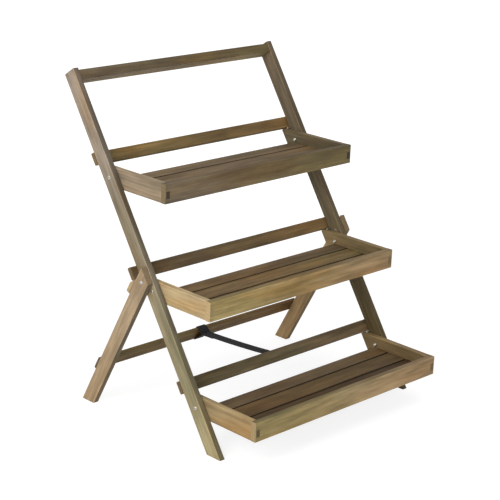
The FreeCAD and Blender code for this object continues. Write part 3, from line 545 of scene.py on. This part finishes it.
def strap_line(start, nose):
    """Up the tab, along the run, round the crossbar and back under the run."""
    half = STRAP_THICKNESS / 2
    face = STILE_DEPTH + SLAT_THICKNESS
    root = SLAT_TOP - STRAP_ROOT
    gap = 0.0005 + half
    tab = [on_ladder(face + back, root + rise, SLAT_OFFSET) for back, rise in (
        (half, -0.020), (half, -0.012), (half, -0.004), (0.0022, 0.0006), (0.006, -0.0002))]
    run = [on_run(start, nose, i / 12) for i in range(1, 12)]
    loop = [on_legs(back, down, BAR_OFFSET) for back, down in (
        (BAR_NEAR - 0.009, BAR_HIGH - half * 0.6),
        (BAR_NEAR - 0.001, BAR_HIGH - gap * 0.95),
        (BAR_NEAR + 0.004, BAR_HIGH - gap),
        (BAR_FAR - 0.0015, BAR_HIGH - gap),
        (BAR_FAR + gap * 0.8, BAR_HIGH - gap * 0.2),
        (BAR_FAR + gap, BAR_HIGH + 0.003),
        (BAR_FAR + gap * 1.1, (BAR_LOW + BAR_HIGH) / 2),
        (BAR_FAR + gap, BAR_LOW - 0.003),
        (BAR_FAR + gap * 0.8, BAR_LOW + gap * 0.2),
        (BAR_FAR - 0.0015, BAR_LOW + gap),
        (BAR_NEAR + 0.003, BAR_LOW + gap),
        (BAR_NEAR - gap * 0.8, BAR_LOW + gap * 0.1),
        (BAR_NEAR - 0.0045, BAR_LOW - 0.007),
        (BAR_NEAR - 0.0110, BAR_LOW - 0.021))]
    lift = Vector((0, 0, half * 1.02))
    lap = [on_run(start, nose, i / 12, LAP_DROP) for i in (11.6, 11.0, 10.4, 10.0)]
    return catmull(tab + run + [nose + lift] + loop + [nose - lift * 1.4] + lap, 5)


STITCH = (0.0012, 0.0004, 0.0003, 1.0)  # half its length, width and height


def make_stitches(start, nose):
    """Three rows of short stitches through the lapped webbing, seen above and below."""
    half = STRAP_THICKNESS / 2
    direction = (nose - start).normalized()
    across = Vector((1, 0, 0))
    up = across.cross(direction).normalized()
    if up.z < 0:
        up = -up
    turn = Matrix((across, direction, up)).transposed().to_4x4()
    shape = bmesh.new()
    for row in range(3):
        middle = on_run(start, nose, (11.5 - row * 0.6) / 12)
        for k in range(-4, 5):
            for side in (half * 1.12, -half * 1.12 - LAP_DROP):
                centre = middle + across * (k * STRAP_WIDTH * 0.105) + up * side
                place = Matrix.Translation(centre) @ turn @ Matrix.Diagonal(STITCH)
                bmesh.ops.create_uvsphere(shape, u_segments=10, v_segments=6, radius=1.0,
                                          matrix=place)
    mesh = bpy.data.meshes.new("strap_stitches")
    shape.to_mesh(mesh)
    shape.free()
    mesh.shade_smooth()
    stitches = bpy.data.objects.new("strap_stitches", mesh)
    scene.collection.objects.link(stitches)
    mesh.materials.append(thread("black_thread"))
    return stitches


def make_strap():
    face = STILE_DEPTH + SLAT_THICKNESS
    root = SLAT_TOP - STRAP_ROOT
    start = on_ladder(face + STRAP_THICKNESS / 2, root, SLAT_OFFSET)
    nose = on_legs(BAR_NEAR - STRAP_NOSE, BAR_HIGH + STRAP_NOSE_DOWN, BAR_OFFSET)
    strap = strap_band("stay_webbing", strap_line(start, nose), STRAP_WIDTH, STRAP_THICKNESS,
                       webbing("black_webbing"))
    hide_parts("stay_strap")
    for piece in (strap, make_stitches(start, nose)):
        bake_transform(piece)


# Each bolt's head has a low ring on it round a hexagonal socket, whose walls and floor are
# near-black steel: painted shade of a deep socket.

RING_SIDES = 24
SOCKET_FLATS = 0.0030
SOCKET_RISE = 0.0006
LEG_RING_RADIUS, TRAY_RING_RADIUS = 0.0024, 0.0044


def socket_edge(angle):
    """How far a hexagon's outline is from its middle, at an angle."""
    sixth = math.radians(60)
    return SOCKET_FLATS / 2 / math.cos(angle % sixth - sixth / 2)


def add_socket(shape, centre, outwards, radius, height):
    """A ring's rounded rim, its flat top, the socket's walls and the socket's floor."""
    rings = []
    for reach, rise in ((radius, 0.0), (radius, 0.4), (radius - 0.0003, 0.9),
                        (radius - 0.0006, 1.0), (None, 1.0), (None, 0.05)):
        ring = []
        for i in range(RING_SIDES):
            angle = 2 * math.pi * i / RING_SIDES
            away = reach or socket_edge(angle)
            ring.append(shape.verts.new(centre + Vector((
                outwards * rise * height, away * math.cos(angle), away * math.sin(angle)))))
        rings.append(ring)
    for below, above in zip(rings, rings[1:]):
        for i in range(RING_SIDES):
            k = (i + 1) % RING_SIDES
            face = shape.faces.new((below[i], below[k], above[k], above[i]))
            face.material_index = 1 if above is rings[-1] else 0
    shape.faces.new(rings[-1]).material_index = 1


def make_sockets(socket_shade_steel):
    for name in sorted(nodes):
        if not name.endswith("_pivot_bolts"):
            continue
        low, high = (Vector(corner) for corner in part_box(name))
        middle = (low + high) / 2
        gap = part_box("right_rear_leg")[0][0] - high.x      # to the leg as it swings past
        height = SOCKET_RISE if gap < 0 else min(SOCKET_RISE, gap / 2)
        shape = bmesh.new()
        for outwards, x in ((-1, low.x), (1, high.x)):
            add_socket(shape, Vector((x, middle.y, middle.z)), outwards,
                       LEG_RING_RADIUS if name.startswith("leg") else TRAY_RING_RADIUS,
                       height)
        bmesh.ops.recalc_face_normals(shape, faces=shape.faces)
        mesh = bpy.data.meshes.new(name + "_sockets")
        shape.to_mesh(mesh)
        shape.free()
        mesh.materials.append(nodes[name].data.materials[0])
        mesh.materials.append(socket_shade_steel)
        piece = bpy.data.objects.new(name + "_sockets", mesh)
        scene.collection.objects.link(piece)
        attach(piece, "ladder")


# Floor, backdrop, light and camera.

FLOOR_HALF = 9.0
FLOOR_LIT, FLOOR_SEEN = (0.80, 0.80, 0.80, 1.0), (0.30, 0.30, 0.30, 1.0)
GLOW_NEAR, GLOW_FAR = (0.9, 0.82), (2.4, 1.0)   # distance from the middle, and strength
WORLD_FILL = 0.44
# name, place, what it points at, size and watts
LIGHTS = (
    ("left", (-2.3, -0.7, 1.5), (0.0, 0.0, 0.45), 1.6, 43),
    ("front", (0.4, -3.4, 1.7), (0.0, 0.0, 0.4), 2.4, 25),
    ("top", (0.2, -0.1, 3.2), (0.0, 0.0, 0.3), 2.4, 25),
)
CAMERA_PLACE = (-2.63694, -2.62427, 1.60810)
CAMERA_TURN, CAMERA_TILT, CAMERA_ROLL = -44.91, -17.98, 2.14
CAMERA_SENSOR, CAMERA_LENS = 36.0, 108.07


def sees_backdrop(g):
    """One for the rays that should meet a white backdrop: from the camera, a gloss or a glass."""
    path = g.node("ShaderNodeLightPath").outputs
    return g.math("MAXIMUM", path["Is Camera Ray"],
                  g.math("MAXIMUM", path["Is Glossy Ray"], path["Is Transmission Ray"]))


def make_floor():
    """A pale floor that looks white, keeps a faint shadow of the stand and lights it from below."""
    g = new_material("pale_floor")
    plain = g.node("ShaderNodeBsdfDiffuse", {"Color": FLOOR_LIT})
    dim = g.node("ShaderNodeBsdfDiffuse", {"Color": FLOOR_SEEN})
    place = g.node("ShaderNodeTexCoord").outputs["Object"]
    away = g.node("ShaderNodeVectorMath", {0: place}, operation="LENGTH").outputs["Value"]
    strength = g.spread(away, GLOW_NEAR[0], GLOW_FAR[0], GLOW_NEAR[1], GLOW_FAR[1])
    glow = g.node("ShaderNodeEmission", {"Color": (1, 1, 1, 1), "Strength": strength})
    white = g.node("ShaderNodeAddShader", {0: dim.outputs[0], 1: glow.outputs[0]})
    seen = g.node("ShaderNodeMixShader",
                  {0: sees_backdrop(g), 1: plain.outputs[0], 2: white.outputs[0]})
    mesh = bpy.data.meshes.new("studio_floor")
    corners = [(x * FLOOR_HALF, y * FLOOR_HALF, 0)
               for x, y in ((-1, -1), (1, -1), (1, 1), (-1, 1))]
    mesh.from_pydata(corners, [], [(0, 1, 2, 3)])
    floor = bpy.data.objects.new("studio_floor", mesh)
    mesh.materials.append(g.surface(seen.outputs[0]))
    scene.collection.objects.link(floor)


def make_world(fill):
    g = Graph(bpy.data.worlds.new("studio"))
    even = g.node("ShaderNodeBackground", {"Color": (1, 1, 1, 1), "Strength": fill})
    white = g.node("ShaderNodeBackground", {"Color": (1, 1, 1, 1), "Strength": 1.0})
    mixed = g.node("ShaderNodeMixShader",
                   {0: sees_backdrop(g), 1: even.outputs[0], 2: white.outputs[0]})
    scene.world = g.surface(mixed.outputs[0], "ShaderNodeOutputWorld")


def area_light(name, location, target, size, power):
    data = bpy.data.lights.new(name, "AREA")
    data.shape = "DISK"
    data.size = size
    data.energy = power
    lamp = bpy.data.objects.new(name, data)
    scene.collection.objects.link(lamp)
    lamp.location = location
    lamp.rotation_euler = (Vector(target) - Vector(location)).to_track_quat("-Z", "Y").to_euler()


def make_camera():
    """The photograph's camera."""
    data = bpy.data.cameras.new("camera")
    data.sensor_width = CAMERA_SENSOR
    data.lens = CAMERA_LENS
    data.clip_end = 100.0
    camera = bpy.data.objects.new("camera", data)
    scene.collection.objects.link(camera)
    turn, tilt, roll = (math.radians(a) for a in (CAMERA_TURN, CAMERA_TILT, CAMERA_ROLL))
    ahead = Vector((-math.sin(turn) * math.cos(tilt), math.cos(turn) * math.cos(tilt),
                    math.sin(tilt)))
    right = ahead.cross(Vector((0, 0, 1))).normalized()
    up = right.cross(ahead)
    right, up = (right * math.cos(roll) + up * math.sin(roll),
                 up * math.cos(roll) - right * math.sin(roll))
    camera.matrix_world = Matrix.Translation(CAMERA_PLACE) @ Matrix(
        (right, up, -ahead)).transposed().to_4x4()
    scene.camera = camera


dress_nodes()
make_sockets(metal("socket_shade_steel", SOCKET_SHADE, 0.45))
make_strap()
make_floor()
make_world(WORLD_FILL)
for light in LIGHTS:
    area_light(*light)
make_camera()
scene.view_settings.view_transform = "Standard"
